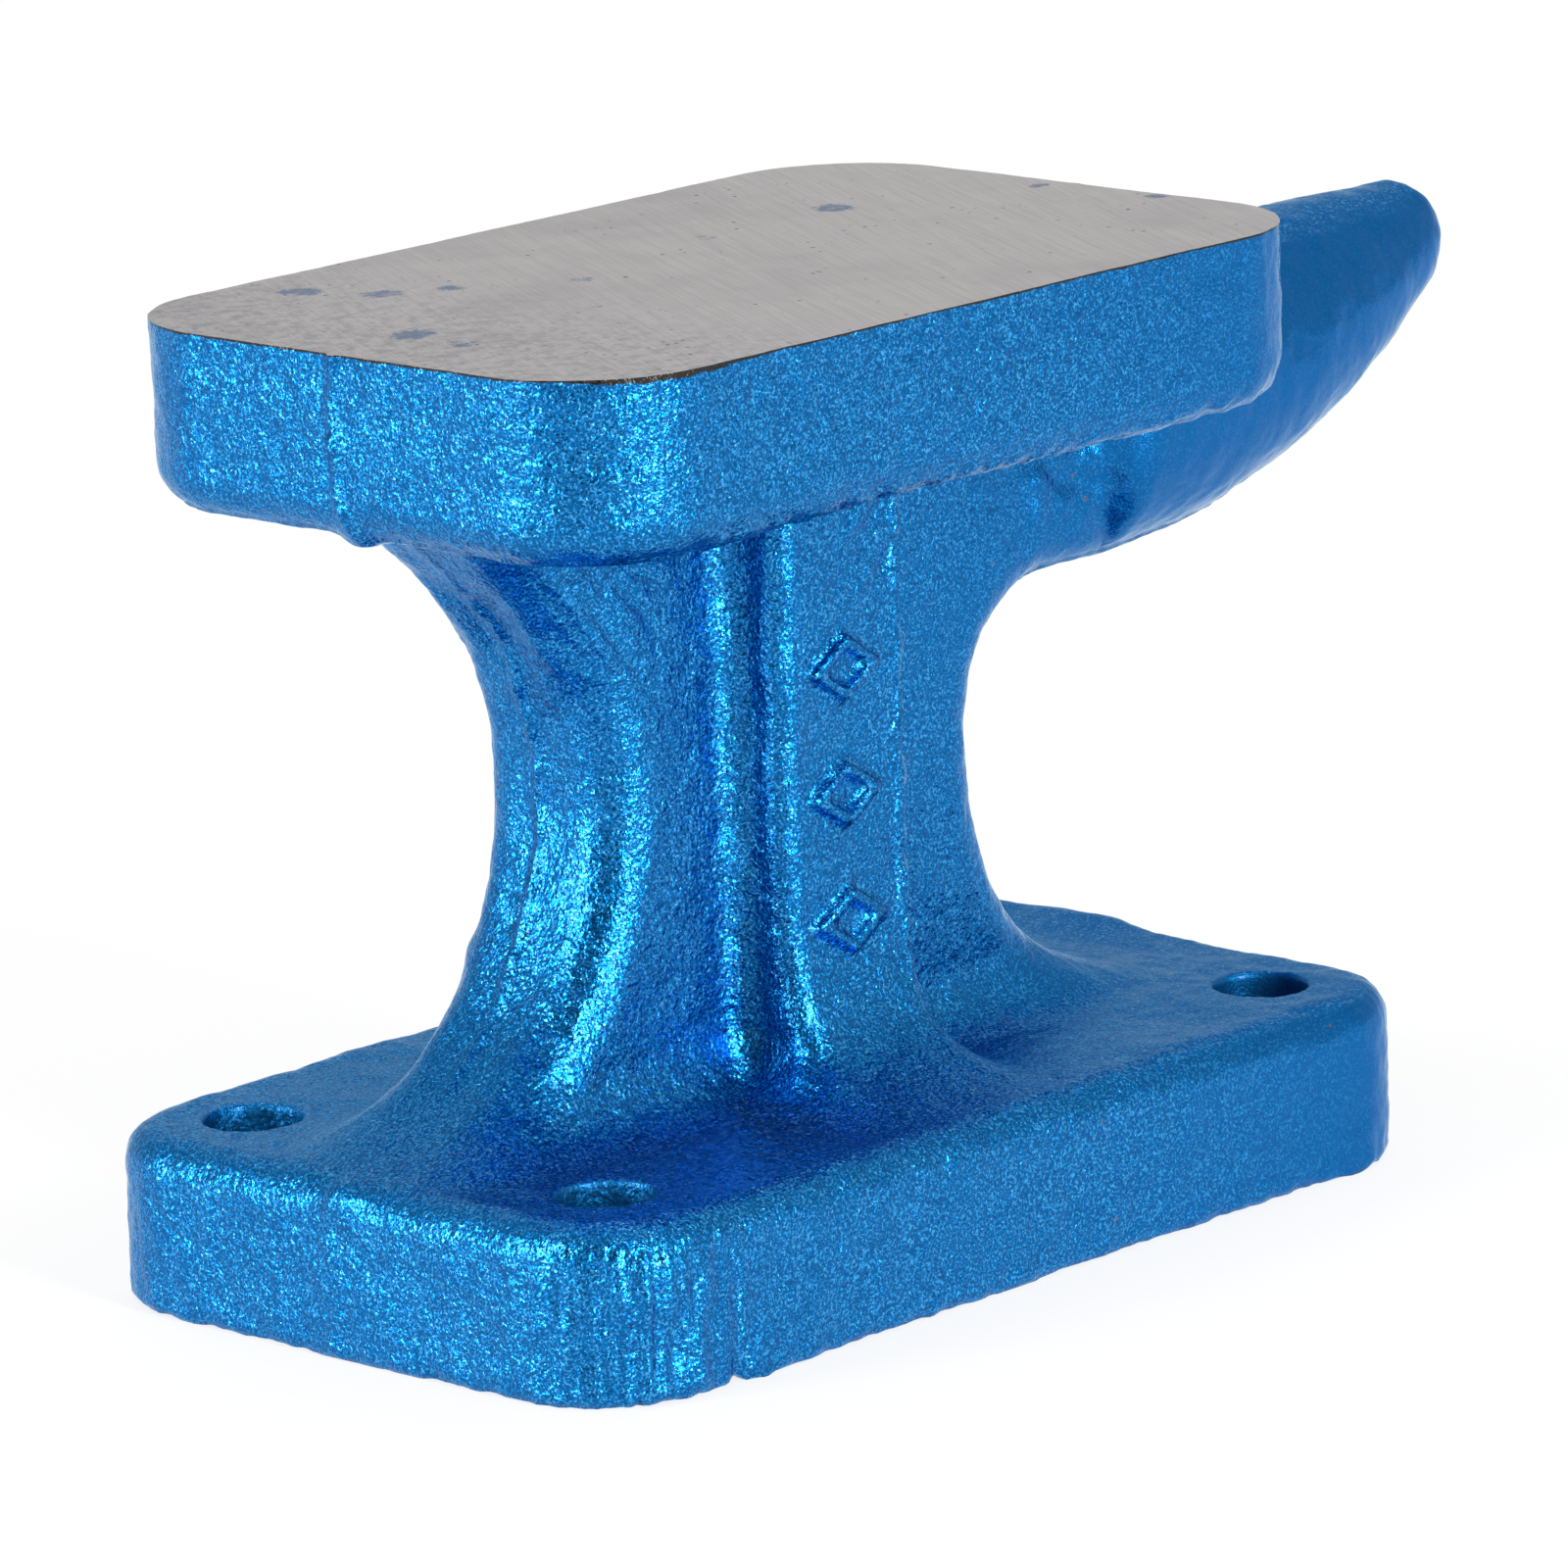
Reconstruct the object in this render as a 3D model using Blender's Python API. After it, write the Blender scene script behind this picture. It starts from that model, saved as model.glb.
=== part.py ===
"""One-pound bench anvil: a single iron casting with a foot plate, a cross-shaped
waist, a table block with a ground face, and one horn.

Metres, +Z up.  X runs along the anvil with the horn at +X.  The origin is the middle
of the underside of the foot plate.  The casting is modelled as its natural zones,
parted by GAP.
"""
import math

import bmesh
import bpy
from mathutils import Matrix, Vector

MM = 0.001
GAP = 0.3 * MM

# foot plate
FOOT_L = 63.5 * MM
FOOT_W = 38.4 * MM
FOOT_H = 9.35 * MM
FOOT_CORNER = 6.6 * MM
FOOT_TOP_ROUND = 2.0 * MM
FOOT_LOW_ROUND = 1.0 * MM
HOLE_D = 4.8 * MM
HOLE_X = 25.0 * MM
HOLE_Y = 12.5 * MM

# table block and the ground layer on top of it
TOTAL_H = 50.8 * MM
TABLE_L = 55.6 * MM
TABLE_W = 35.8 * MM
TABLE_T = 9.6 * MM
TABLE_X = -1.0 * MM
TABLE_CORNER = 7.6 * MM
TABLE_LOW_ROUND = 2.3 * MM
FACE_T = 0.9 * MM

# waist: lengthwise web
WEB_HALF_T = 5.3 * MM
WEB_ROUND = 3.0 * MM
HEEL_X = -15.6 * MM
HEEL_R = 16.0 * MM
HEEL_Z = 25.9 * MM
THROAT_X = 12.4 * MM
THROAT_LOW_R = 14.3 * MM
THROAT_LOW_Z = 23.0 * MM
THROAT_TOP_R = 6.8 * MM
THROAT_TOP_Z = 24.75 * MM
NECK_END_X = 22.2 * MM
MAX_SLOPE = 1.15
WEB_FOOT_R = 3.5 * MM

# waist: cross ribs
RIB_X = -2.5 * MM
RIB_HALF_W = 4.6 * MM
RIB_OUT_Y = 8.7 * MM
RIB_HEEL_ROUND = 1.45 * MM
RIB_HORN_ROUND = 0.45 * MM
RIB_SWEEP_R = 12.0 * MM
RIB_SWEEP_Z = 18.3 * MM
RIB_TOP_DRAFT = 0.03
RIB_FOOT_R = 3.0 * MM

# raised lozenges on the front rib
LOZENGE_L = 5.6 * MM
LOZENGE_H = 3.6 * MM
LOZENGE_RISE = 0.5 * MM
LOZENGE_EDGE = 0.25 * MM
LOZENGE_Z = (31.2 * MM, 24.6 * MM, 18.0 * MM)

# horn
HORN_BACK_X = 22.5 * MM
HORN_TOP_Z = 47.2 * MM
HORN_ROOT_R = 8.1 * MM
HORN_TIP_X = 54.8 * MM
HORN_TIP_R = 2.6 * MM
HORN_POWER = 2.1
HORN_BACK_ROUND = 1.4 * MM

WAIST_LOW_Z = FOOT_H + GAP
WAIST_TOP_Z = TOTAL_H - TABLE_T - GAP
TABLE_TOP_Z = TOTAL_H - FACE_T - GAP


def clear_scene():
    for old in list(bpy.data.objects):
        bpy.data.objects.remove(old, do_unlink=True)


def new_collection(name):
    coll = bpy.data.collections.new(name)
    bpy.context.scene.collection.children.link(coll)
    return coll


def material(name, colour, rough, metal):
    mat = bpy.data.materials.new(name)
    mat.use_nodes = True
    shader = mat.node_tree.nodes["Principled BSDF"]
    shader.inputs["Base Color"].default_value = (*colour, 1.0)
    shader.inputs["Roughness"].default_value = rough
    shader.inputs["Metallic"].default_value = metal
    return mat


def add_object(name, bm, coll, mat=None):
    bmesh.ops.recalc_face_normals(bm, faces=bm.faces)
    mesh = bpy.data.meshes.new(name)
    bm.to_mesh(mesh)
    bm.free()
    obj = bpy.data.objects.new(name, mesh)
    coll.objects.link(obj)
    if mat is not None:
        mesh.materials.append(mat)
    return obj


def shade(obj, degrees):
    for poly in obj.data.polygons:
        poly.use_smooth = True
    obj.data.set_sharp_from_angle(angle=math.radians(degrees))


def edges_where(bm, test):
    return [e for e in bm.edges if test(e.verts[0].co, e.verts[1].co)]


def rounded_slab(length, width, z_low, z_top, corner, low_round, top_round):
    """Slab with rounded plan corners and rounded lower and upper rims."""
    bm = bmesh.new()
    bmesh.ops.create_cube(bm, size=1.0)
    middle = Matrix.Translation((0.0, 0.0, (z_low + z_top) / 2))
    scale = Matrix.Diagonal((length, width, z_top - z_low, 1.0))
    bm.transform(middle @ scale)
    uprights = edges_where(bm, lambda a, b: abs(a.z - b.z) > 0.5 * (z_top - z_low))
    bmesh.ops.bevel(bm, geom=uprights, offset=corner, segments=9, profile=0.5, affect="EDGES")
    for level, radius in ((z_low, low_round), (z_top, top_round)):
        if radius > 0:
            rim = edges_where(bm, lambda a, b: abs(a.z - level) + abs(b.z - level) < 1e-6)
            bmesh.ops.bevel(bm, geom=rim, offset=radius, segments=4, profile=0.5, affect="EDGES")
    return bm


def subtract(target, cutter):
    mod = target.modifiers.new("cut", "BOOLEAN")
    mod.operation = "DIFFERENCE"
    mod.solver = "EXACT"
    mod.object = cutter


def unite(target, other):
    mod = target.modifiers.new("join", "BOOLEAN")
    mod.operation = "UNION"
    mod.solver = "EXACT"
    mod.object = other


def as_cutter(obj):
    obj.hide_render = True
    obj.display_type = "WIRE"
    return obj


def loft(rings):
    """Closed skin through a stack of rings that all have the same number of points."""
    bm = bmesh.new()
    rows = [[bm.verts.new(p) for p in ring] for ring in rings]
    count = len(rows[0])
    for low, high in zip(rows, rows[1:]):
        for i in range(count):
            j = (i + 1) % count
            bm.faces.new((low[i], low[j], high[j], high[i]))
    bm.faces.new(rows[0])
    bm.faces.new(rows[-1])
    return bm


def section(x0, x1, y0, y1, radii, z, steps=5):
    """Rounded rectangle at height z; radii are given anticlockwise from (x1, y1)."""
    corners = ((x1, y1, 0), (x0, y1, 90), (x0, y0, 180), (x1, y0, 270))
    points = []
    for (cx, cy, start), r in zip(corners, radii):
        ix = cx - r if cx == x1 else cx + r
        iy = cy - r if cy == y1 else cy + r
        for k in range(steps + 1):
            a = math.radians(start + 90.0 * k / steps)
            points.append(Vector((ix + r * math.cos(a), iy + r * math.sin(a), z)))
    return points


def sweep(dz, radius):
    """Sideways growth of a hollow arc of this radius at height dz from its middle."""
    limit = radius * math.sin(math.atan(MAX_SLOPE))
    near = min(abs(dz), limit)
    return radius - math.sqrt(radius * radius - near * near) + MAX_SLOPE * (abs(dz) - near)


def foot_flare(z, radius):
    """Growth of the small fillet where the waist stands on the foot plate."""
    rise = z - FOOT_H
    if rise >= radius:
        return 0.0
    return radius - math.sqrt(radius * radius - (radius - rise) ** 2)


def heel_end(z):
    return HEEL_X - sweep(z - HEEL_Z, HEEL_R)


def throat_end(z):
    if z < THROAT_LOW_Z:
        return THROAT_X + sweep(z - THROAT_LOW_Z, THROAT_LOW_R)
    if z < THROAT_TOP_Z:
        return THROAT_X
    rise = z - THROAT_TOP_Z
    if rise >= THROAT_TOP_R:
        return NECK_END_X
    return THROAT_X + THROAT_TOP_R - math.sqrt(THROAT_TOP_R ** 2 - rise ** 2)


def web_half(z):
    return WEB_HALF_T + foot_flare(z, WEB_FOOT_R)


def rib_out(z):
    low = sweep(min(z - RIB_SWEEP_Z, 0.0), RIB_SWEEP_R)
    return RIB_OUT_Y + low + RIB_TOP_DRAFT * max(z - HEEL_Z, 0.0)


def rib_half(z):
    return RIB_HALF_W + foot_flare(z, RIB_FOOT_R)


def levels_between(low, top, count):
    return [low + (top - low) * k / count for k in range(count + 1)]


def web_rings():
    neck_z = THROAT_TOP_Z + THROAT_TOP_R
    low = levels_between(WAIST_LOW_Z, FOOT_H + WEB_FOOT_R, 4)
    middle = levels_between(FOOT_H + WEB_FOOT_R, THROAT_TOP_Z, 7)
    upper = [THROAT_TOP_Z + THROAT_TOP_R * math.sin(math.radians(a)) for a in range(15, 90, 12)]
    top = levels_between(neck_z, WAIST_TOP_Z, 4)
    rings = []
    for z in low + middle[1:] + upper + top:
        half = web_half(z)
        rings.append(section(heel_end(z), throat_end(z), -half, half, (WEB_ROUND,) * 4, z))
    return rings


def rib_rings(side):
    low = levels_between(WAIST_LOW_Z, FOOT_H + WEB_FOOT_R, 5)
    middle = levels_between(FOOT_H + WEB_FOOT_R, RIB_SWEEP_Z, 5)
    top = levels_between(RIB_SWEEP_Z, WAIST_TOP_Z, 4)
    sharp = 0.15 * MM
    rings = []
    for z in low + middle[1:] + top[1:]:
        inner = web_half(z) + GAP
        outer = rib_out(z)
        x0 = RIB_X - rib_half(z)
        x1 = RIB_X + rib_half(z)
        if side > 0:
            rings.append(section(x0, x1, inner, outer, (RIB_HORN_ROUND, RIB_HEEL_ROUND, sharp, sharp), z))
        else:
            rings.append(section(x0, x1, -outer, -inner, (sharp, sharp, RIB_HEEL_ROUND, RIB_HORN_ROUND), z))
    return rings


def horn_radius(x):
    run = max(x - HORN_BACK_X, 0.0)
    full = HORN_TIP_X - HORN_BACK_X
    return HORN_ROOT_R - (HORN_ROOT_R - HORN_TIP_R) * (run / full) ** HORN_POWER


def horn_ring(x, radius, sides=36):
    centre_z = HORN_TOP_Z - horn_radius(x)
    ring = []
    for k in range(sides):
        a = 2 * math.pi * k / sides
        ring.append(Vector((x, radius * math.sin(a), centre_z + radius * math.cos(a))))
    return ring


def horn_rings():
    rings = []
    for a in (0, 30, 60, 90):
        back = HORN_BACK_ROUND * (1 - math.sin(math.radians(a)))
        x = HORN_BACK_X + HORN_BACK_ROUND * (1 - math.cos(math.radians(a)))
        rings.append(horn_ring(x, horn_radius(x) - back))
    start = HORN_BACK_X + HORN_BACK_ROUND
    stop = HORN_TIP_X - HORN_TIP_R
    for x in levels_between(start, stop, 14)[1:]:
        rings.append(horn_ring(x, horn_radius(x)))
    for a in (20, 40, 58, 74):
        x = stop + HORN_TIP_R * math.sin(math.radians(a))
        rings.append(horn_ring(x, horn_radius(stop) * math.cos(math.radians(a))))
    return rings


def lozenge(z):
    """Raised diamond with a chamfered rim, rooted inside the front rib."""
    front = -(rib_out(z) + LOZENGE_RISE)
    rings = []
    for y, inset in ((front + 2.0 * MM, 0.0), (front + LOZENGE_EDGE, 0.0), (front, LOZENGE_EDGE)):
        dx = LOZENGE_L / 2 - inset * 1.6
        dz = LOZENGE_H / 2 - inset
        spots = ((dx, 0.0), (0.0, dz), (-dx, 0.0), (0.0, -dz))
        rings.append([Vector((RIB_X + a, y, z + b)) for a, b in spots])
    return loft(rings)


def build():
    clear_scene()
    parts = new_collection("bench_anvil")
    cutters = new_collection("cutters")
    paint = (0.014, 0.175, 0.48)

    foot_mat = material("foot_paint", paint, 0.38, 0.55)
    web_mat = material("web_paint", paint, 0.38, 0.55)
    front_mat = material("rib_front_paint", paint, 0.38, 0.55)
    rear_mat = material("rib_back_paint", paint, 0.38, 0.55)
    table_mat = material("table_paint", paint, 0.38, 0.55)
    horn_mat = material("horn_paint", paint, 0.38, 0.55)
    face_mat = material("ground_iron", (0.42, 0.42, 0.43), 0.34, 1.0)

    bm = rounded_slab(FOOT_L, FOOT_W, 0.0, FOOT_H, FOOT_CORNER, FOOT_LOW_ROUND, FOOT_TOP_ROUND)
    foot = add_object("foot_plate", bm, parts, foot_mat)
    for sx in (-1, 1):
        for sy in (-1, 1):
            bm = bmesh.new()
            bmesh.ops.create_cone(bm, cap_ends=True, segments=24, radius1=HOLE_D / 2,
                                  radius2=HOLE_D / 2, depth=3 * FOOT_H)
            bm.transform(Matrix.Translation((sx * HOLE_X, sy * HOLE_Y, FOOT_H / 2)))
            drill = as_cutter(add_object("drill", bm, cutters))
            subtract(foot, drill)

    web = add_object("waist_web", loft(web_rings()), parts, web_mat)

    front = add_object("rib_front", loft(rib_rings(-1)), parts, front_mat)
    for z in LOZENGE_Z:
        unite(front, as_cutter(add_object("lozenge", lozenge(z), cutters)))
    rear = add_object("rib_back", loft(rib_rings(1)), parts, rear_mat)

    low_z = TOTAL_H - TABLE_T
    bm = rounded_slab(TABLE_L, TABLE_W, low_z, TABLE_TOP_Z, TABLE_CORNER, TABLE_LOW_ROUND, 0.0)
    bm.transform(Matrix.Translation((TABLE_X, 0.0, 0.0)))
    table = add_object("table_block", bm, parts, table_mat)

    bm = rounded_slab(TABLE_L, TABLE_W, TABLE_TOP_Z + GAP, TOTAL_H, TABLE_CORNER, 0.0, 0.0)
    bm.transform(Matrix.Translation((TABLE_X, 0.0, 0.0)))
    face = add_object("ground_face", bm, parts, face_mat)

    horn = add_object("horn", loft(horn_rings()), parts, horn_mat)
    bm = rounded_slab(TABLE_L + 2 * GAP, TABLE_W + 2 * GAP, WAIST_TOP_Z, TOTAL_H + TABLE_T,
                      TABLE_CORNER + GAP, TABLE_LOW_ROUND, 0.0)
    bm.transform(Matrix.Translation((TABLE_X, 0.0, 0.0)))
    subtract(horn, as_cutter(add_object("table_clearance", bm, cutters)))

    for obj in (foot, web, front, rear, table, face, horn):
        shade(obj, 32)


build()
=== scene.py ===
import math

import bmesh
import bpy
import numpy as np
from mathutils import Matrix, Vector, noise


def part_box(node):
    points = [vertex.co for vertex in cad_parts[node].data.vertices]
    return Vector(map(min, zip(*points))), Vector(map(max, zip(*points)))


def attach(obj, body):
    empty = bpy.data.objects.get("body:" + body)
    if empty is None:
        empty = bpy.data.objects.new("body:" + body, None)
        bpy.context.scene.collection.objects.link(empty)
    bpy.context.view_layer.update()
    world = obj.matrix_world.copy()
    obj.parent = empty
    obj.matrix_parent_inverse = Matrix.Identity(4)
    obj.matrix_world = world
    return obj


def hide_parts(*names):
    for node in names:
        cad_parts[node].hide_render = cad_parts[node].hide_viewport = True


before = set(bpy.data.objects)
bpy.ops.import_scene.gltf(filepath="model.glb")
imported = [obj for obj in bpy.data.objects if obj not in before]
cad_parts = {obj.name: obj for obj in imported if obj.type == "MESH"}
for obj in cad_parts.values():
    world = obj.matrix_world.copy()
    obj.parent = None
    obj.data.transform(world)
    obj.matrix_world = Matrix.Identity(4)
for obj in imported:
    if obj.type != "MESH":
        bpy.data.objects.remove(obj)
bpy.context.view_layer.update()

MM = 0.001


def node_box(name):
    low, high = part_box(name)
    return np.array(low) / MM, np.array(high) / MM


# ---------------------------------------------------------------- sizes, millimetres
FOOT_LOW, FOOT_HIGH = node_box("foot_plate")
TABLE_LOW, TABLE_HIGH = node_box("table_block")
FACE_LOW, FACE_HIGH = node_box("ground_face")
HORN_HIGH = node_box("horn")[1]

FOOT_CORNER, FOOT_TOP_ROUND, FOOT_LOW_ROUND = 6.6, 2.0, 0.6
HOLE_X, HOLE_Y, HOLE_R, HOLE_EDGE = 25.0, 12.5, 2.4, 0.35
TABLE_CORNER, TABLE_LOW_ROUND, UNDERSIDE_RISE = 7.6, 2.3, 0.42
WEB_HALF, WEB_ROUND = 5.3, 3.0
HEEL_X, HEEL_R, HEEL_Z = -15.6, 16.0, 25.9
THROAT_X, THROAT_LOW_R, THROAT_LOW_Z = 12.4, 14.3, 23.0
THROAT_TOP_R, THROAT_TOP_Z, NECK_END = 6.8, 24.75, 23.6
MAX_SLOPE = 1.15
RIB_HEEL_X, RIB_HORN_X, RIB_OUT = -7.1, 2.1, 8.7
RIB_HEEL_ROUND, RIB_HORN_ROUND, RIB_ROOT = 1.45, 0.8, 1.7
RIB_SWEEP_R, RIB_SWEEP_Z, RIB_DRAFT = 12.0, 18.3, 0.03
HORN_BACK, HORN_TOP, HORN_ROOT_R, HORN_TIP_R = 22.7, 47.2, 8.1, 2.6
HORN_POWER, HORN_BACK_ROUND, HORN_NECK = 2.1, 0.9, 0.7
HORN_BACK_TILT = math.radians(41)
LOZENGE_Z = (31.2, 24.6, 18.0)
LOZENGE_L, LOZENGE_H, LOZENGE_RISE = 5.6, 3.6, 0.5
LOZENGE_INNER_L, LOZENGE_INNER_H = 1.5, 0.95
LOZENGE_X = (RIB_HEEL_X + RIB_HORN_X) / 2

VOXEL = 0.3
SKIN_INSET = 0.12


# ---------------------------------------------------------------- distance field
def join(a, b, r):
    """Union with a fillet of radius r in the inner corner."""
    u = np.maximum(r - a, 0.0)
    v = np.maximum(r - b, 0.0)
    return np.maximum(r, np.minimum(a, b)) - np.sqrt(u * u + v * v)


def meet(a, b, r):
    """Intersection with the outer edge rounded to radius r."""
    u = np.maximum(r + a, 0.0)
    v = np.maximum(r + b, 0.0)
    return np.minimum(-r, np.maximum(a, b)) + np.sqrt(u * u + v * v)


def slab_outline(x, y, low, high, corner):
    qx = np.abs(x - (low[0] + high[0]) / 2) - (high[0] - low[0]) / 2 + corner
    qy = np.abs(y - (low[1] + high[1]) / 2) - (high[1] - low[1]) / 2 + corner
    return np.minimum(np.maximum(qx, qy), 0) + np.hypot(np.maximum(qx, 0), np.maximum(qy, 0)) - corner


def sweep(dz, radius):
    limit = radius * math.sin(math.atan(MAX_SLOPE))
    near = np.minimum(np.abs(dz), limit)
    return radius - np.sqrt(radius ** 2 - near ** 2) + MAX_SLOPE * (np.abs(dz) - near)


def steepness(dz, radius):
    near = np.minimum(np.abs(dz), radius * math.sin(math.atan(MAX_SLOPE)))
    return np.sqrt(1 + near ** 2 / (radius ** 2 - near ** 2))


def web_distance(x, side_y, z):
    z = np.clip(z, FOOT_HIGH[2] - 0.3, TABLE_LOW[2] + 0.4)
    heel = (HEEL_X - sweep(z - HEEL_Z, HEEL_R) - x) / steepness(z - HEEL_Z, HEEL_R)
    drop = np.minimum(z - THROAT_LOW_Z, 0.0)
    low = (x - THROAT_X - sweep(drop, THROAT_LOW_R)) / steepness(drop, THROAT_LOW_R)
    centre = THROAT_X + THROAT_TOP_R
    arc = THROAT_TOP_R - np.hypot(x - centre, z - THROAT_TOP_Z)
    flat = np.minimum(THROAT_TOP_Z + THROAT_TOP_R - z, THROAT_TOP_R)
    high = np.where(x > centre, flat, arc)
    high = np.where(z < THROAT_TOP_Z, x - THROAT_X, high)
    throat = np.maximum(np.where(z < THROAT_LOW_Z, low, high), x - NECK_END)
    return meet(np.maximum(heel, throat), side_y - WEB_HALF, WEB_ROUND)


def rib_face(z):
    low = sweep(np.minimum(z - RIB_SWEEP_Z, 0.0), RIB_SWEEP_R)
    return RIB_OUT + low + RIB_DRAFT * np.maximum(z - HEEL_Z, 0.0)


def rib_distance(x, side_y, z):
    z = np.clip(z, FOOT_HIGH[2] - 0.3, TABLE_LOW[2] + 0.4)
    drop = np.minimum(z - RIB_SWEEP_Z, 0.0)
    front = (side_y - rib_face(z)) / steepness(drop, RIB_SWEEP_R)
    return meet(meet(RIB_HEEL_X - x, front, RIB_HEEL_ROUND), x - RIB_HORN_X, RIB_HORN_ROUND)


def horn_radius(x):
    run = np.maximum(x - HORN_BACK, 0.0) / (HORN_HIGH[0] - HORN_BACK)
    return HORN_ROOT_R - (HORN_ROOT_R - HORN_TIP_R) * run ** HORN_POWER


def horn_distance(x, y, z):
    xx = np.clip(x, HORN_BACK - 3, HORN_HIGH[0] + 4)
    r = horn_radius(xx)
    lean = 1.8 * (horn_radius(xx + 0.1) - horn_radius(xx - 0.1)) / 0.2
    out = np.hypot(y, z - HORN_TOP + r)
    cone = (out - r) / np.sqrt(1 + lean ** 2)
    back = (HORN_BACK - x) * math.cos(HORN_BACK_TILT) + (out - r) * math.sin(HORN_BACK_TILT)
    return meet(meet(cone, x - HORN_HIGH[0], HORN_TIP_R), back, HORN_BACK_ROUND)


def table_underside(x):
    """Height of the table's lower side, which rises a little from the heel to the horn."""
    run = np.clip((x - TABLE_LOW[0] - 4.0) / 14.0, 0.0, 1.0)
    return TABLE_LOW[2] + UNDERSIDE_RISE * run * run * (3.0 - 2.0 * run)


def casting(p):
    """Signed distance in millimetres of the whole casting, open above the ground face."""
    x, y, z = p[:, 0], p[:, 1], p[:, 2]
    side_y = np.abs(y)
    outline = slab_outline(x, y, FOOT_LOW, FOOT_HIGH, FOOT_CORNER)
    foot = meet(meet(outline, z - FOOT_HIGH[2], FOOT_TOP_ROUND), -z, FOOT_LOW_ROUND)
    outline = slab_outline(x, y, TABLE_LOW, TABLE_HIGH, TABLE_CORNER)
    table = meet(outline, table_underside(x) - z, TABLE_LOW_ROUND)
    stub = np.maximum(5.0 - z, z - 46.0)
    web = np.maximum(web_distance(x, side_y, z), stub)
    rib = np.maximum(rib_distance(x, side_y, z), stub)
    body = join(web, rib, RIB_ROOT)
    face_y = -rib_face(z)
    for middle in LOZENGE_Z:
        rim = (np.abs(x - LOZENGE_X) / (LOZENGE_L / 2) + np.abs(z - middle) / (LOZENGE_H / 2) - 1.0) * 1.5
        slab = np.maximum(face_y - LOZENGE_RISE - y, y - face_y - 1.0)
        sunk = (np.abs(x - LOZENGE_X) / LOZENGE_INNER_L + np.abs(z - middle) / LOZENGE_INNER_H - 1.0) * 0.8
        body = join(body, meet(meet(rim, -sunk, 0.15), slab, 0.22), 0.25)
    neck = HORN_NECK * np.clip((z - 32.0) / 2.5, 0.1, 1.0)
    body = join(body, horn_distance(x, y, z), neck)
    body = join(body, foot, 3.6)
    body = join(body, table, 1.2)
    drill = np.hypot(np.abs(x) - HOLE_X, side_y - HOLE_Y) - HOLE_R
    drill = np.maximum(drill, z - 15.0)
    return meet(body, -drill, HOLE_EDGE)


def gradient(p, step=0.04):
    g = np.empty_like(p)
    for k in range(3):
        shift = np.zeros(3)
        shift[k] = step
        g[:, k] = casting(p + shift) - casting(p - shift)
    return g / (2 * step)


# ---------------------------------------------------------------- surface from the field
def surface_net(low, high, h):
    """Quads round the zero level of the casting's field on a grid of cell h."""
    axes = [np.arange(low[k], high[k] + h, h) for k in range(3)]
    shape = tuple(len(a) for a in axes)
    field = np.empty(shape, np.float32)
    yy, zz = np.meshgrid(axes[1], axes[2], indexing="ij")
    flat_y, flat_z = yy.ravel(), zz.ravel()
    for i, x in enumerate(axes[0]):
        points = np.stack([np.full_like(flat_y, x), flat_y, flat_z], axis=1)
        field[i] = casting(points).reshape(shape[1:])
    inside = field < 0
    corners = [(i, j, k) for i in (0, 1) for j in (0, 1) for k in (0, 1)]
    cells = tuple(n - 1 for n in shape)

    def window(a, c):
        return a[c[0]:c[0] + cells[0], c[1]:c[1] + cells[1], c[2]:c[2] + cells[2]]

    count = sum(window(inside, c).astype(np.int8) for c in corners)
    active = (count > 0) & (count < 8)
    index = np.full(cells, -1, np.int64)
    index[active] = np.arange(active.sum())
    where = np.argwhere(active)
    total = np.zeros((len(where), 3))
    hits = np.zeros(len(where))
    for a in corners:
        for axis in range(3):
            if a[axis]:
                continue
            b = list(a)
            b[axis] = 1
            fa = field[tuple((where + a).T)]
            fb = field[tuple((where + b).T)]
            crossed = (fa < 0) != (fb < 0)
            t = fa[crossed] / (fa[crossed] - fb[crossed])
            spot = np.repeat([np.array(a, float)], crossed.sum(), axis=0)
            spot[:, axis] += t
            total[crossed] += spot
            hits[crossed] += 1
    verts = np.array([a[0] for a in axes]) + h * (where + total / hits[:, None])
    quads = []
    for axis in range(3):
        u, v = (axis + 1) % 3, (axis + 2) % 3
        first = np.take(inside, range(shape[axis] - 1), axis=axis)
        second = np.take(inside, range(1, shape[axis]), axis=axis)
        edges = np.argwhere(first != second)
        edges = edges[(edges[:, u] > 0) & (edges[:, v] > 0)]
        edges = edges[(edges[:, u] < cells[u]) & (edges[:, v] < cells[v])]
        outward = first[tuple(edges.T)]
        du, dv = np.zeros(3, int), np.zeros(3, int)
        du[u], dv[v] = 1, 1
        ring = [index[tuple((edges - s).T)] for s in (du + dv, dv, 0 * du, du)]
        quad = np.stack(ring, axis=1)
        quad[~outward] = quad[~outward][:, ::-1]
        quads.append(quad)
    return verts, np.concatenate(quads)


def settle(verts, quads, rounds):
    """Evens the net out along the surface and pulls it back onto the zero level."""
    starts = quads.ravel()
    ends = np.roll(quads, -1, axis=1).ravel()
    degree = np.bincount(starts, minlength=len(verts)) + np.bincount(ends, minlength=len(verts))
    for _ in range(rounds):
        mean = np.zeros_like(verts)
        for k in range(3):
            mean[:, k] = np.bincount(starts, verts[ends, k], len(verts))
            mean[:, k] += np.bincount(ends, verts[starts, k], len(verts))
        mean /= degree[:, None]
        verts = verts + 0.5 * (mean - verts)
        for _ in range(2):
            g = gradient(verts)
            size = np.maximum((g * g).sum(axis=1), 0.2)
            verts = verts - (casting(verts) / size)[:, None] * g
    return verts


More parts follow.
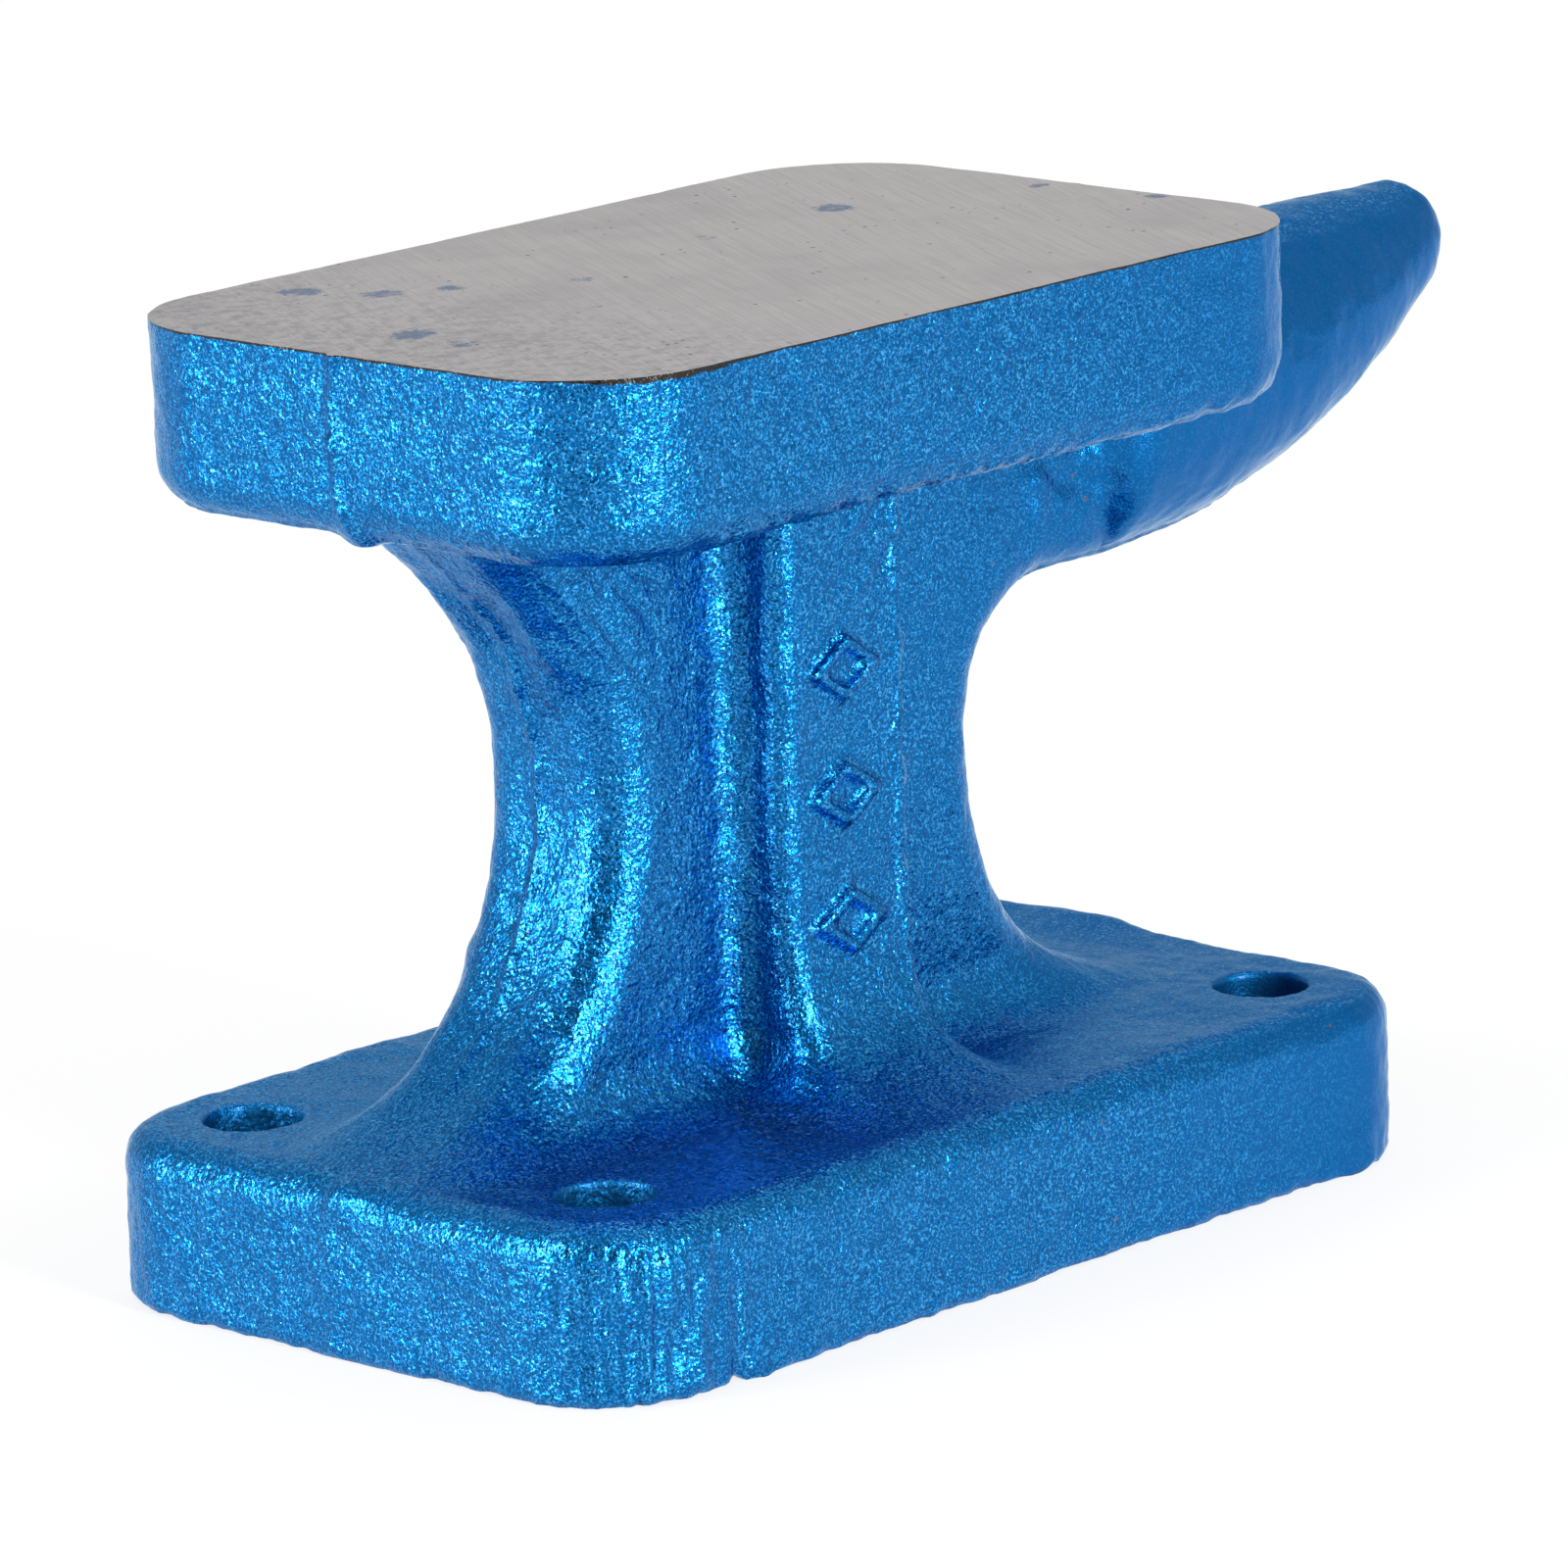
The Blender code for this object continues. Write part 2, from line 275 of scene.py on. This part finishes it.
def cast_relief(p):
    """How far the rough sand-cast skin stands off the smooth shape, in millimetres."""
    out = np.empty(len(p))
    for i, q in enumerate(p):
        v = Vector(q)
        broad = noise.noise(v * 0.11) * 0.10 + noise.noise(v * 0.27 + Vector((7, 3, 1))) * 0.08
        lumps = noise.noise(v * 0.62) * 0.065 + noise.noise(v * 1.5 + Vector((2, 9, 4))) * 0.045
        out[i] = broad + lumps
    return out


# ---------------------------------------------------------------- local marks of the mould
LUMPS = (
    # x, y, z, radius, height
    (-31.6, -0.4, 8.7, 1.0, 0.34), (-31.6, -2.4, 3.2, 1.0, 0.30), (-31.6, 0.4, 3.9, 1.3, 0.16),
    (-27.4, 0.3, 41.1, 1.3, 0.55), (-25.6, 0.6, 41.0, 1.1, 0.30), (-16.4, 5.3, 17.4, 1.1, 0.30),
    (31.4, 2.6, 9.2, 1.9, 0.50), (31.3, 6.0, 9.2, 2.6, 0.42), (31.2, 10.0, 9.2, 3.0, 0.25),
    (-9.4, -7.4, 12.6, 1.0, 0.42), (-8.2, -9.6, 11.2, 0.8, 0.30), (-7.0, -11.4, 10.4, 0.9, 0.20),
    (20.2, -5.3, 37.6, 0.9, 0.40), (16.7, -5.3, 37.0, 0.8, 0.30), (18.6, -5.3, 38.4, 0.9, 0.36),
    (16.8, -5.3, 35.6, 0.7, 0.26), (20.6, -5.3, 35.2, 1.0, 0.30), (18.7, -5.3, 35.6, 0.8, 0.30),
    (-21.0, -19.1, 0.5, 1.5, 0.40), (-17.8, -19.1, 0.4, 1.0, 0.25), (24.6, -19.1, 0.4, 1.6, 0.40),
)


def ridge(distance, width):
    return np.exp(-(distance / width) ** 2)


def mould_marks(p, normal):
    """Parting flash on the ends, ragged rims, lumps and the wrinkled foot corner."""
    x, y, z = p[:, 0], p[:, 1], p[:, 2]
    wander = np.array([noise.noise(Vector((v[0] * 0.2, 3.0, v[2] * 0.45))) for v in p])
    offset = Vector((5, 1, 8))
    ragged = np.array([noise.noise(Vector((v[0] * 0.9, v[1] * 0.9, v[2] * 0.9)) + offset) for v in p])
    on_end = np.clip(np.abs(normal[:, 0]) * 1.6 - 0.6, 0, 1)
    flash = ridge(y - 0.3 - 0.4 * wander, 0.26) * (0.30 + 0.34 * ragged) * on_end
    flash = flash * np.where(x < 0, 1.0, 0.4) * np.where(z > 12.0, 1.0, 0.35)
    low = np.clip(1.0 - z / 1.8, 0, 1) * np.clip(1.0 + normal[:, 2] * 0.5, 0, 1)
    rim = low * (ragged * 0.22 - 0.05)
    lip = ridge(z - table_underside(x) - 0.42, 0.42) * (np.abs(y) > 14) * (x > -20) * (0.20 + 0.22 * ragged)
    cx, cy = FOOT_LOW[0] + 3.8, FOOT_LOW[1]
    corner = ridge(np.hypot(x - cx, y - cy), 5.8) * np.clip(1.0 - np.abs(z - 4.2) / 6.0, 0, 1)
    along = (x - y) * 1.25
    streak = np.array([noise.noise(Vector((a, v[2] * 0.24, 4.0))) for a, v in zip(along, p)])
    under = ridge(np.hypot(x + 17.0, z - 36.5), 5.0) * (side_slope(normal) > 0)
    folds = np.array([noise.noise(Vector((v[0] * 1.1 + v[2] * 0.9, v[1] * 0.5, v[2] * 0.25))) for v in p])
    across, down = (z - x) * 1.15, (z + x) * 0.20
    crease = np.array([noise.noise(Vector((a, b, 2.0))) for a, b in zip(across, down)])
    fan = ridge(np.hypot(x - 0.6, (z - 38.2) * 0.8), 3.0) * (y < -5.0) * (z < 41.0)
    notch = -0.45 * ridge(x + 22.6, 0.55) * ridge(z - 0.2, 1.3) * (y < -15)
    off_edge = np.hypot(x - RIB_HORN_X + 0.30, -y - rib_face(z) + 0.22)
    edge = ridge(off_edge, 0.34) * (0.36 + 0.24 * ragged) * np.clip((z - 13.0) / 4.0, 0, 1) * (z < 40.5)
    total = flash + rim + lip + notch + edge
    total += corner * (streak * 0.55 - 0.08) + under * folds * 0.40 + fan * crease * 0.36
    for lx, ly, lz, radius, height in LUMPS:
        away = np.sqrt((x - lx) ** 2 + (y - ly) ** 2 + (z - lz) ** 2)
        total += height * ridge(away, radius)
    return total


def side_slope(normal):
    return -normal[:, 0] - normal[:, 1]


def point_normals(verts, quads):
    a = verts[quads[:, 2]] - verts[quads[:, 0]]
    b = verts[quads[:, 3]] - verts[quads[:, 1]]
    face = np.cross(a, b)
    out = np.zeros_like(verts)
    for k in range(3):
        for c in range(4):
            out[:, k] += np.bincount(quads[:, c], face[:, k], len(verts))
    return out / np.maximum(np.linalg.norm(out, axis=1), 1e-12)[:, None]


def make_casting():
    low = np.array([FOOT_LOW[0], FOOT_LOW[1], FOOT_LOW[2]]) - 1.5
    high = np.array([HORN_HIGH[0] + 1.5, FOOT_HIGH[1] + 1.5, FACE_HIGH[2] + 1.2])
    verts, quads = surface_net(low, high, VOXEL)
    verts = settle(verts, quads, 4)
    smooth = point_normals(verts, quads)
    inset = SKIN_INSET * (smooth[:, 2] > -0.9)
    verts = verts + smooth * (cast_relief(verts) + mould_marks(verts, smooth) - inset)[:, None]
    verts[:, :2] = np.clip(verts[:, :2], [FOOT_LOW[0], FOOT_LOW[1]], [HORN_HIGH[0], FOOT_HIGH[1]])
    verts[:, 2] = np.maximum(verts[:, 2], 0.0)
    return verts, quads, point_normals(verts, quads)


casting_verts, casting_quads, casting_normals = make_casting()
whole = bpy.data.meshes.new("whole")
whole.from_pydata((casting_verts * MM).tolist(), [], casting_quads.tolist())
whole.attributes.new("skin", "FLOAT_VECTOR", "POINT")
whole.attributes["skin"].data.foreach_set("vector", casting_normals.ravel())


# ---------------------------------------------------------------- zones of the casting
def cut(bm, spot, direction):
    """Removes what lies beyond the plane and fills the open edge that this leaves."""
    geom = list(bm.verts) + list(bm.edges) + list(bm.faces)
    done = bmesh.ops.bisect_plane(
        bm, geom=geom, dist=1e-9, plane_co=spot, plane_no=direction, clear_outer=True)
    rim = [e for e in done["geom_cut"] if isinstance(e, bmesh.types.BMEdge) and e.is_valid and e.is_boundary]
    for face in bmesh.ops.holes_fill(bm, edges=rim, sides=0)["faces"]:
        face.smooth = False


def zone(planes):
    bm = bmesh.new()
    bm.from_mesh(whole)
    for face in bm.faces:
        face.smooth = True
    for spot, direction in planes:
        cut(bm, Vector(spot) * MM, Vector(direction))
    return bm


def finish_zone(name, meshes, materials):
    mesh = bpy.data.meshes.new(name)
    total = bmesh.new()
    for bm in meshes:
        part = bpy.data.meshes.new("part")
        bm.to_mesh(part)
        bm.free()
        total.from_mesh(part)
        bpy.data.meshes.remove(part)
    total.to_mesh(mesh)
    total.free()
    for mat in materials:
        mesh.materials.append(mat)
    skin = np.empty(len(mesh.vertices) * 3)
    mesh.attributes["skin"].data.foreach_get("vector", skin)
    skin = skin.reshape(-1, 3)
    normals = np.empty((len(mesh.loops), 3))
    corner = np.empty(len(mesh.loops), int)
    mesh.loops.foreach_get("vertex_index", corner)
    normals[:] = skin[corner]
    for poly in mesh.polygons:
        if not poly.use_smooth:
            normals[list(poly.loop_indices)] = poly.normal
    mesh.attributes.remove(mesh.attributes["skin"])
    mesh.polygons.foreach_set("use_smooth", np.ones(len(mesh.polygons), bool))
    mesh.normals_split_custom_set(normals.tolist())
    obj = bpy.data.objects.new(name, mesh)
    bpy.context.scene.collection.objects.link(obj)
    return obj


# ---------------------------------------------------------------- node helpers
class Graph:
    """Short names for building one material's nodes."""

    def __init__(self, name):
        self.mat = bpy.data.materials.new(name)
        self.mat.use_nodes = True
        self.tree = self.mat.node_tree
        self.shader = self.tree.nodes["Principled BSDF"]
        coords = self.tree.nodes.new("ShaderNodeTexCoord")
        self.mm = self.vector("SCALE", coords.outputs["Object"], None, 1.0 / MM)

    def put(self, socket, value):
        if isinstance(value, bpy.types.NodeSocket):
            self.tree.links.new(value, socket)
        elif value is not None:
            socket.default_value = value

    def vector(self, operation, a, b=None, scale=None):
        node = self.tree.nodes.new("ShaderNodeVectorMath")
        node.operation = operation
        self.put(node.inputs[0], a)
        self.put(node.inputs[1], b)
        self.put(node.inputs[3], scale)
        return node.outputs["Value" if operation in ("LENGTH", "DISTANCE", "DOT_PRODUCT") else "Vector"]

    def math(self, operation, a, b=None):
        node = self.tree.nodes.new("ShaderNodeMath")
        node.operation = operation
        self.put(node.inputs[0], a)
        self.put(node.inputs[1], b)
        return node.outputs[0]

    def noise(self, scale, detail=2.0, rough=0.5, at=None):
        node = self.tree.nodes.new("ShaderNodeTexNoise")
        self.put(node.inputs["Vector"], at or self.mm)
        node.inputs["Scale"].default_value = scale
        node.inputs["Detail"].default_value = detail
        node.inputs["Roughness"].default_value = rough
        return node.outputs["Fac"]

    def cells(self, scale, out="Color"):
        node = self.tree.nodes.new("ShaderNodeTexVoronoi")
        self.put(node.inputs["Vector"], self.mm)
        node.inputs["Scale"].default_value = scale
        return node.outputs[out]

    def span(self, value, low, high, to_low=0.0, to_high=1.0):
        node = self.tree.nodes.new("ShaderNodeMapRange")
        node.interpolation_type = "SMOOTHSTEP"
        self.put(node.inputs["Value"], value)
        for key, number in (("From Min", low), ("From Max", high), ("To Min", to_low), ("To Max", to_high)):
            node.inputs[key].default_value = number
        return node.outputs[0]

    def blend(self, factor, a, b):
        node = self.tree.nodes.new("ShaderNodeMix")
        node.data_type = "RGBA"
        self.put(node.inputs[0], factor)
        self.put(node.inputs[6], a)
        self.put(node.inputs[7], b)
        return node.outputs[2]

    def bump(self, height, distance, strength=1.0, normal=None):
        node = self.tree.nodes.new("ShaderNodeBump")
        self.put(node.inputs["Height"], height)
        node.inputs["Distance"].default_value = distance
        self.put(node.inputs["Strength"], strength)
        self.put(node.inputs["Normal"], normal)
        return node.outputs[0]

    def axis(self, name, source=None):
        node = self.tree.nodes.new("ShaderNodeSeparateXYZ")
        self.put(node.inputs[0], source or self.mm)
        return node.outputs[name]


def rgb(r, g, b):
    return (r, g, b, 1.0)


DEEP_BLUE = rgb(0.001, 0.098, 0.305)
BODY_BLUE = rgb(0.001, 0.170, 0.490)
SMOOTH_BLUE = rgb(0.001, 0.120, 0.38)
# painted glint colour: brighter blue standing in for paint flakes catching the light
GLINT_BLUE = rgb(0.060, 0.400, 0.82)
# pale colour for specks on the tops: partly dust, partly a painted sheen
DUST_AND_SHEEN = rgb(0.16, 0.36, 0.62)
# painted shade: darker blue for the inside of the drilled holes
HOLE_SHADE_BLUE = rgb(0.006, 0.110, 0.28)
RUST = rgb(0.22, 0.13, 0.05)
SCALE_IRON = rgb(0.035, 0.032, 0.030)
GROUND_GREY = rgb(0.490, 0.470, 0.468)

# the rounded corner of the table where the paint is rubbed off the edge
BARE_CORNER = (-22.6, -17.6, 50.8)
FLAKE_TILT = 0.25


def paint_material():
    g = Graph("blue_metallic_paint")
    curl = g.noise(3.4, 1.5, 0.5)
    fine = g.noise(7.0, 1.5, 0.55)
    thread = g.math("ABSOLUTE", g.math("SUBTRACT", g.noise(3.2, 1.0, 0.5), 0.5))
    lively = g.span(g.axis("X"), 1.5, 30.0, 1.0, 0.12)
    colour = g.blend(g.span(fine, 0.38, 0.60), DEEP_BLUE, BODY_BLUE)
    colour = g.blend(lively, SMOOTH_BLUE, colour)
    # painted glints: thin curly threads and specks of brighter blue stand in for the paint's flakes catching
    # the light
    worm = g.math("MULTIPLY", g.span(thread, 0.060, 0.010), g.span(fine, 0.44, 0.58))
    glint = g.math("MULTIPLY", lively, g.math("MAXIMUM", worm, g.span(fine, 0.60, 0.74)))
    colour = g.blend(glint, colour, GLINT_BLUE)
    rusty = g.span(g.noise(0.3, 1.0), 0.60, 0.66)
    spot = g.math("MULTIPLY", g.span(g.cells(0.42, "Distance"), 0.075, 0.03), rusty)
    colour = g.blend(g.math("MULTIPLY", spot, 0.6), colour, RUST)
    # inside the drilled holes the blue is painted darker as shade in the recess, and the surface there is
    # made rougher
    folded = g.vector("MULTIPLY", g.vector("ABSOLUTE", g.mm), (1.0, 1.0, 0.0))
    in_hole = g.span(g.vector("DISTANCE", folded, (HOLE_X, HOLE_Y, 0.0)), HOLE_R + 0.35, HOLE_R + 0.05)
    in_hole = g.math("MULTIPLY", in_hole, g.span(g.axis("Z"), FOOT_HIGH[2], FOOT_HIGH[2] - 0.3, 0.0, 0.85))
    colour = g.blend(in_hole, colour, HOLE_SHADE_BLUE)
    facing = g.tree.nodes.new("ShaderNodeNewGeometry").outputs["Normal"]
    # pale specks on upward faces, partly dust and partly a painted sheen of the light falling on the tops;
    # the specks are also made a little less metallic
    dust_and_sheen_noise = g.span(g.noise(5.5, 2.0, 0.6), 0.50, 0.66)
    dust_and_sheen_speck = g.math("MULTIPLY", g.span(g.axis("Z", facing), 0.75, 0.97), dust_and_sheen_noise)
    colour = g.blend(g.math("MULTIPLY", dust_and_sheen_speck, 0.5), colour, DUST_AND_SHEEN)
    g.put(g.shader.inputs["Metallic"], g.math("SUBTRACT", 0.95, g.math("MULTIPLY", dust_and_sheen_speck, 0.25)))
    ragged = g.noise(0.9, 4.0, 0.75)
    corner = g.span(g.vector("DISTANCE", g.mm, BARE_CORNER), 6.5, 1.5, 0.0, 0.42)
    limit = g.math("SUBTRACT", FACE_HIGH[2] + 0.04, g.math("MULTIPLY", ragged, g.math("ADD", corner, 0.30)))
    bare = g.span(g.math("SUBTRACT", g.axis("Z"), limit), -0.02, 0.02)
    colour = g.blend(bare, colour, SCALE_IRON)
    g.put(g.shader.inputs["Base Color"], colour)
    g.shader.inputs["Specular Tint"].default_value = rgb(0.25, 0.65, 0.95)
    rough = g.span(g.noise(1.1, 2.0), 0.3, 0.7, 0.24, 0.33)
    g.put(g.shader.inputs["Roughness"], g.math("ADD", rough, g.math("MULTIPLY", in_hole, 0.35)))
    g.put(g.shader.inputs["Coat Weight"], g.span(g.axis("Z", facing), 0.35, 0.95, 0.6, 0.26))
    g.shader.inputs["Coat Roughness"].default_value = 0.06
    g.shader.inputs["Coat IOR"].default_value = 1.2
    broad = g.bump(g.noise(1.2, 2.0, 0.5), 0.00010, lively)
    skin = g.bump(curl, 0.00009, lively, broad)
    g.put(g.shader.inputs["Coat Normal"], skin)
    flake = g.cells(6.0)
    centred = g.vector("SUBTRACT", flake, (0.5, 0.5, 0.5))
    tilt = g.vector("SCALE", centred, None, g.math("MULTIPLY", lively, FLAKE_TILT))
    skin = g.bump(fine, 0.00003, 1.0, skin)
    g.put(g.shader.inputs["Normal"], g.vector("NORMALIZE", g.vector("ADD", skin, tilt)))
    return g.mat


# x, y, radius, weight
STAINS = (
    (14.45, 6.5, 2.4, 1.0), (-22.9, 0.4, 2.6, 1.0), (-15.9, 9.6, 2.3, 0.95), (-12.9, 7.6, 1.7, 0.95),
    (-17.7, 13.6, 2.4, 1.0), (25.9, -6.0, 1.3, 1.0), (-23.4, -3.6, 2.0, 0.8), (-7.5, 3.6, 1.6, 0.8),
    (25.2, 1.5, 1.3, 0.95), (4.5, 6.4, 1.6, 0.7),
)
LINE_BEARING = math.radians(61)


def ground_material():
    g = Graph("ground_iron_face")
    turned = g.tree.nodes.new("ShaderNodeMapping")
    turned.vector_type = "TEXTURE"
    turned.inputs["Rotation"].default_value = (0.0, 0.0, LINE_BEARING)
    turned.inputs["Scale"].default_value = (9.0, 0.16, 1.0)
    g.put(turned.inputs["Vector"], g.mm)
    lines = g.noise(1.0, 4.0, 0.7, at=turned.outputs[0])
    cloud = g.noise(0.09, 4.0, 0.6)
    mottle = g.noise(1.1, 6.0, 0.85)
    heel_side = g.span(g.axis("X"), -6.0, -24.0)
    colour = g.blend(g.span(lines, 0.36, 0.62), rgb(0.412, 0.396, 0.395), GROUND_GREY)
    colour = g.blend(g.span(cloud, 0.42, 0.70, 0.0, 0.60), colour, rgb(0.33, 0.32, 0.325))
    dirt = g.math("MULTIPLY", heel_side, g.span(mottle, 0.44, 0.62))
    colour = g.blend(g.math("MULTIPLY", dirt, 0.6), colour, rgb(0.17, 0.18, 0.215))
    patches = None
    for x, y, radius, weight in STAINS:
        far = g.vector("DISTANCE", g.mm, (x, y, FACE_HIGH[2]))
        near = g.span(far, radius, radius * 0.2, 0.0, weight)
        patches = near if patches is None else g.math("MAXIMUM", patches, near)
    reach = g.math("MULTIPLY", g.math("SUBTRACT", patches, 0.75), 0.40)
    blotch = g.span(g.math("ADD", g.noise(1.6, 6.0, 0.9), reach), 0.49, 0.56)
    colour = g.blend(g.math("MULTIPLY", blotch, 0.85), colour, rgb(0.055, 0.12, 0.26))
    near_pit = g.span(g.cells(1.3, "Distance"), 0.20, 0.10)
    dots = g.math("MULTIPLY", near_pit, g.span(g.noise(0.25, 4.0, 0.9), 0.54, 0.58))
    colour = g.blend(g.math("MULTIPLY", dots, 0.9), colour, rgb(0.04, 0.04, 0.045))
    g.put(g.shader.inputs["Base Color"], colour)
    g.shader.inputs["Metallic"].default_value = 0.85
    g.put(g.shader.inputs["Roughness"], g.span(cloud, 0.3, 0.7, 0.36, 0.48))
    skin = g.bump(lines, 0.00002, 0.5)
    skin = g.bump(g.math("SUBTRACT", 1.0, dots), 0.00006, 0.8, skin)
    g.put(g.shader.inputs["Normal"], skin)
    return g.mat


paint = paint_material()
ground = ground_material()

# ---------------------------------------------------------------- pieces
FOOT_CUT, TABLE_CUT = 12.5, 39.9
RIB_CUT, ROOT_CUT, END_CUT = 5.65, 22.0, 27.35
FACE_CUT = FACE_LOW[2]
UP, DOWN, PLUS_X, MINUS_X = (0, 0, 1), (0, 0, -1), (1, 0, 0), (-1, 0, 0)
FRONT, BACK = (0, -1, 0), (0, 1, 0)
waist = [((0, 0, FOOT_CUT), DOWN), ((0, 0, TABLE_CUT), UP), ((ROOT_CUT, 0, 0), PLUS_X)]

# one group of cuts makes a convex zone, and the horn's zone is not convex, so it has two
plan = {
    "foot_plate": [[((0, 0, FOOT_CUT), UP)]],
    "waist_web": [waist + [((0, -RIB_CUT, 0), FRONT), ((0, RIB_CUT, 0), BACK)]],
    "rib_front": [waist + [((0, -RIB_CUT, 0), BACK)]],
    "rib_back": [waist + [((0, RIB_CUT, 0), FRONT)]],
    "table_block": [[((0, 0, TABLE_CUT), DOWN), ((0, 0, FACE_CUT), UP), ((END_CUT, 0, 0), PLUS_X)]],
    "horn": [
        [((0, 0, FOOT_CUT), DOWN), ((END_CUT, 0, 0), MINUS_X)],
        [
            ((0, 0, FOOT_CUT), DOWN), ((END_CUT, 0, 0), PLUS_X),
            ((ROOT_CUT, 0, 0), MINUS_X), ((0, 0, TABLE_CUT), UP),
        ],
    ],
}
for node, groups in plan.items():
    piece = finish_zone(node + "_cast", [zone(planes) for planes in groups], [paint])
    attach(piece, "root")
    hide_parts(node)

bm = zone([((0, 0, FACE_CUT), DOWN), ((0, 0, FACE_HIGH[2]), UP)])
top = [f for f in bm.faces if len(f.verts) > 20 and f.calc_center_median().z > (FACE_HIGH[2] - 0.01) * MM]
for face in top:
    face.material_index = 1
piece = finish_zone("ground_face_top", [bm], [paint, ground])
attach(piece, "root")
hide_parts("ground_face")
bpy.data.meshes.remove(whole)

# ---------------------------------------------------------------- floor, light and camera
MIDDLE = (0.0, 0.0, 0.025)
WORLD_BRIGHT, WORLD_DIM, DIM_SIDE = 0.66, 0.06, (-0.82, -0.53, 0.10)
FLOOR_TONE, FLOOR_GLOW = 0.15, 0.80


def around(degrees, distance, height):
    """A place at this bearing, counted from -X towards -Y."""
    a = math.radians(degrees)
    return (-distance * math.cos(a), -distance * math.sin(a), height)


def box_light(name, degrees, distance, height, width, tall, radiance):
    """A softbox of this brightness, facing the object."""
    lamp = bpy.data.lights.new(name, "AREA")
    lamp.shape = "RECTANGLE"
    lamp.size, lamp.size_y = width, tall
    lamp.energy = radiance * math.pi * width * tall
    obj = bpy.data.objects.new(name, lamp)
    obj.location = around(degrees, distance, height)
    obj.rotation_euler = (Vector(MIDDLE) - obj.location).to_track_quat("-Z", "Y").to_euler()
    bpy.context.scene.collection.objects.link(obj)


box_light("box_left", -20, 1.0, 0.31, 0.34, 0.58, 16.0)
box_light("box_right", 82, 1.0, 0.31, 0.18, 0.58, 36.0)
box_light("box_top", 200, 0.25, 1.1, 0.6, 0.6, 2.5)

world = bpy.data.worlds.new("studio")
world.use_nodes = True
bpy.context.scene.world = world
sky = world.node_tree
back = sky.nodes["Background"]
direction = sky.nodes.new("ShaderNodeTexCoord")
toward = sky.nodes.new("ShaderNodeVectorMath")
toward.operation = "DOT_PRODUCT"
toward.inputs[1].default_value = DIM_SIDE
sky.links.new(direction.outputs["Generated"], toward.inputs[0])
ramp = sky.nodes.new("ShaderNodeMapRange")
ramp.inputs["From Min"].default_value = 0.55
ramp.inputs["From Max"].default_value = 0.92
ramp.inputs["To Min"].default_value = WORLD_BRIGHT
ramp.inputs["To Max"].default_value = WORLD_DIM
sky.links.new(toward.outputs["Value"], ramp.inputs["Value"])
sky.links.new(ramp.outputs[0], back.inputs["Strength"])
back.inputs["Color"].default_value = (1.0, 1.0, 1.0, 1.0)

floor_mesh = bpy.data.meshes.new("floor")
bm = bmesh.new()
bmesh.ops.create_grid(bm, x_segments=24, y_segments=24, size=3.0)
bm.to_mesh(floor_mesh)
bm.free()
floor = bpy.data.objects.new("floor", floor_mesh)
bpy.context.scene.collection.objects.link(floor)
pale = Graph("pale_floor")
pale.shader.inputs["Base Color"].default_value = rgb(FLOOR_TONE, FLOOR_TONE, FLOOR_TONE)
pale.shader.inputs["Roughness"].default_value = 0.9
pale.shader.inputs["Emission Color"].default_value = (1.0, 1.0, 1.0, 1.0)
pale.shader.inputs["Emission Strength"].default_value = FLOOR_GLOW
floor_mesh.materials.append(pale.mat)

CAMERA_BEARING, CAMERA_RISE, CAMERA_ROLL = -46.52, 13.29, -2.20
CAMERA_DISTANCE, CAMERA_LENS = 0.5261, 233.6
AIM_SIDE, AIM_HEIGHT = 0.00149, 0.02337
bearing, rise, roll = (math.radians(v) for v in (CAMERA_BEARING, CAMERA_RISE, CAMERA_ROLL))
flat = math.cos(rise)
back_axis = Vector((math.sin(bearing) * flat, -math.cos(bearing) * flat, math.sin(rise)))
level = Vector((math.cos(bearing), math.sin(bearing), 0.0))
above = back_axis.cross(level)
side_axis = math.cos(roll) * level + math.sin(roll) * above
up_axis = -math.sin(roll) * level + math.cos(roll) * above
place = level * AIM_SIDE + Vector((0, 0, AIM_HEIGHT)) + back_axis * CAMERA_DISTANCE
lens = bpy.data.cameras.new("camera")
lens.sensor_width = 36.0
lens.lens = CAMERA_LENS
lens.clip_start, lens.clip_end = 0.05, 20.0
camera = bpy.data.objects.new("camera", lens)
turn = Matrix((side_axis, up_axis, back_axis)).transposed()
camera.matrix_world = Matrix.Translation(place) @ turn.to_4x4()
bpy.context.scene.collection.objects.link(camera)
bpy.context.scene.camera = camera
bpy.context.scene.view_settings.view_transform = "Standard"
